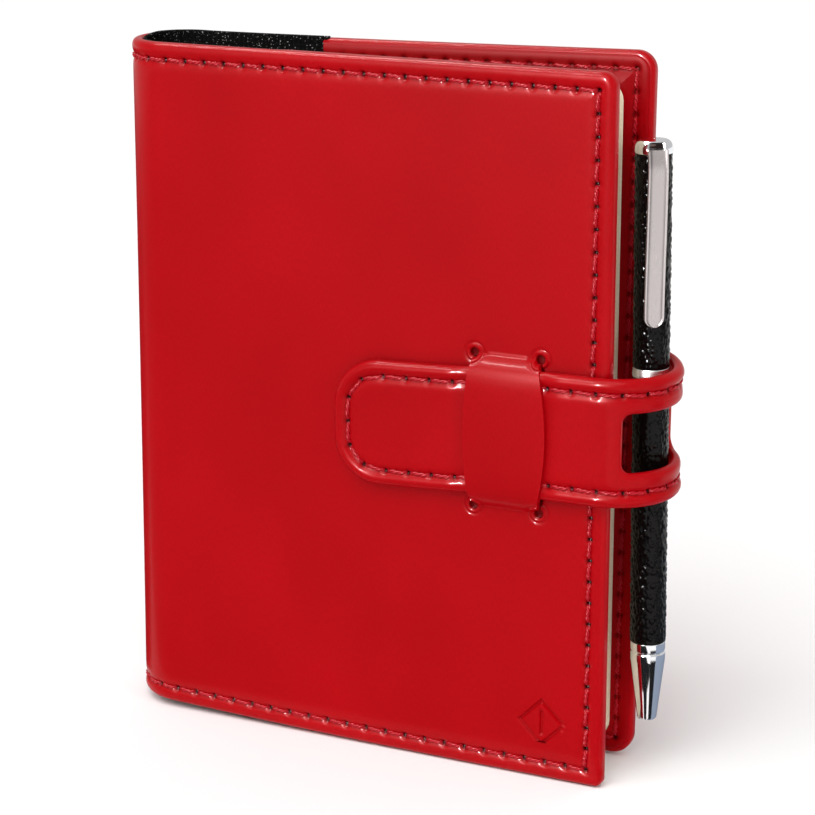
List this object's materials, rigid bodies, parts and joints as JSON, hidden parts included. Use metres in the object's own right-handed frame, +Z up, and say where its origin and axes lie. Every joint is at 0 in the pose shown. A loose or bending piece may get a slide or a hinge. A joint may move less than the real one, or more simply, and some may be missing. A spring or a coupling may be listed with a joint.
{
  "type": "pocket notebook",
  "caption": "Pocket notebook in a stitched red leather wrap cover, with a strap closure under a keeper band and a twist pen held in the strap's fold.",
  "frame": {"origin": "centre of the bounding box's bottom face, on the ground the notebook stands on", "axes": "+Z up along the spine, +X from the spine to the fore edge and the strap's fold, -Y out of the front cover"},
  "size_m": [0.1314, 0.03, 0.158],
  "materials": {
    "cover_leather": "smooth, satin, fine vertical grain",
    "pocket_leather": "smooth satin",
    "thread": "waxed thread",
    "mesh_lining": "woven mesh textile",
    "board": "greyboard",
    "card": "matt card",
    "paper": "cream book paper",
    "pen_leather": "glossy pebbled leather wrap",
    "pen_chrome": "polished",
    "pen_brass": "plain",
    "pen_plastic": "moulded"
  },
  "bodies": {
    "back_cover": {"back_skin": "cover_leather", "back_board": "board", "back_lining": "mesh_lining", "back_pocket": "pocket_leather", "back_stitching": "thread", "strap_tail_outer": "cover_leather", "strap_tail_lining": "pocket_leather", "strap_tail_stitching": "thread", "back_card": "card", "back_pages": "paper", "book_spine_back": "card"},
    "spine_back": {"spine_back_skin": "cover_leather", "spine_back_lining": "mesh_lining", "spine_back_stitching": "thread"},
    "spine_front": {"spine_front_skin": "cover_leather", "spine_front_lining": "mesh_lining", "spine_front_stitching": "thread"},
    "front_cover": {"front_skin": "cover_leather", "keeper_band": "cover_leather", "front_board": "board", "front_lining": "mesh_lining", "front_pocket": "pocket_leather", "front_stitching": "thread", "front_card": "card"},
    "front_pages": {"front_pages": "paper", "book_spine_front": "card"},
    "strap_fold": {"strap_fold_outer": "cover_leather", "strap_fold_lining": "pocket_leather", "strap_fold_stitching": "thread"},
    "strap_tongue": {"strap_tongue_outer": "cover_leather", "strap_tongue_lining": "pocket_leather", "strap_tongue_stitching": "thread"},
    "pen_lower": {"pen_lower_tube": "pen_brass", "pen_lower_wrap": "pen_leather", "pen_nose": "pen_chrome"},
    "pen_upper": {"pen_cap": "pen_chrome", "pen_clip": "pen_chrome", "pen_upper_tube": "pen_brass", "pen_upper_wrap": "pen_leather", "pen_ring": "pen_chrome", "twist_cam": "pen_plastic"},
    "refill": {"refill_tube": "pen_plastic", "refill_tip": "pen_brass"}
  },
  "joints": [
    {"name": "cover_open", "type": "hinge", "parent": "back_cover", "child": "spine_back", "pos_m": [-0.05863, 0.01137, 0.079], "axis": [0, 0, -1], "range_deg": [0, 54]},
    {"name": "spine_middle", "type": "hinge", "parent": "spine_back", "child": "spine_front", "pos_m": [-0.06573, 0.00075, 0.079], "axis": [0, 0, -1], "range_deg": [0, 72]},
    {"name": "front_crease", "type": "hinge", "parent": "spine_front", "child": "front_cover", "pos_m": [-0.05863, -0.00988, 0.079], "axis": [0, 0, -1], "range_deg": [0, 54]},
    {"name": "pages_turn", "type": "hinge", "parent": "back_cover", "child": "front_pages", "pos_m": [-0.06003, 0.00075, 0.079], "axis": [0, 0, -1], "range_deg": [0, 180]},
    {"name": "strap_open", "type": "hinge", "parent": "back_cover", "child": "strap_fold", "pos_m": [0.05727, 0.01377, 0.0788], "axis": [0, 0, 1], "range_deg": [0, 80], "deforming": ["keeper_band"]},
    {"name": "strap_unroll", "type": "hinge", "parent": "strap_fold", "child": "strap_tongue", "pos_m": [0.05727, -0.01227, 0.0788], "axis": [0, 0, 1], "range_deg": [0, 80]},
    {"name": "pen_slide", "type": "slide", "parent": "back_cover", "child": "pen_lower", "axis": [-0.014, 0, 0.9999], "range_m": [0, 0.1]},
    {"name": "pen_twist", "type": "hinge", "parent": "pen_lower", "child": "pen_upper", "pos_m": [0.05838, 0.0041, 0.0788], "axis": [-0.014, 0, 0.9999], "range_deg": [0, 150]},
    {"name": "refill_feed", "type": "slide", "parent": "pen_lower", "child": "refill", "axis": [0.014, 0, -0.9999], "range_m": [0, 0.0022]}
  ],
  "couplings": [
    {"joint": "spine_middle", "follows": "cover_open", "ratio": 1.3333},
    {"joint": "front_crease", "follows": "cover_open", "ratio": 1},
    {"joint": "pages_turn", "follows": "cover_open", "ratio": 3.3333},
    {"joint": "strap_unroll", "follows": "strap_open", "ratio": 1},
    {"joint": "pen_twist", "follows": "refill_feed", "rad_per_m": 1190}
  ]
}
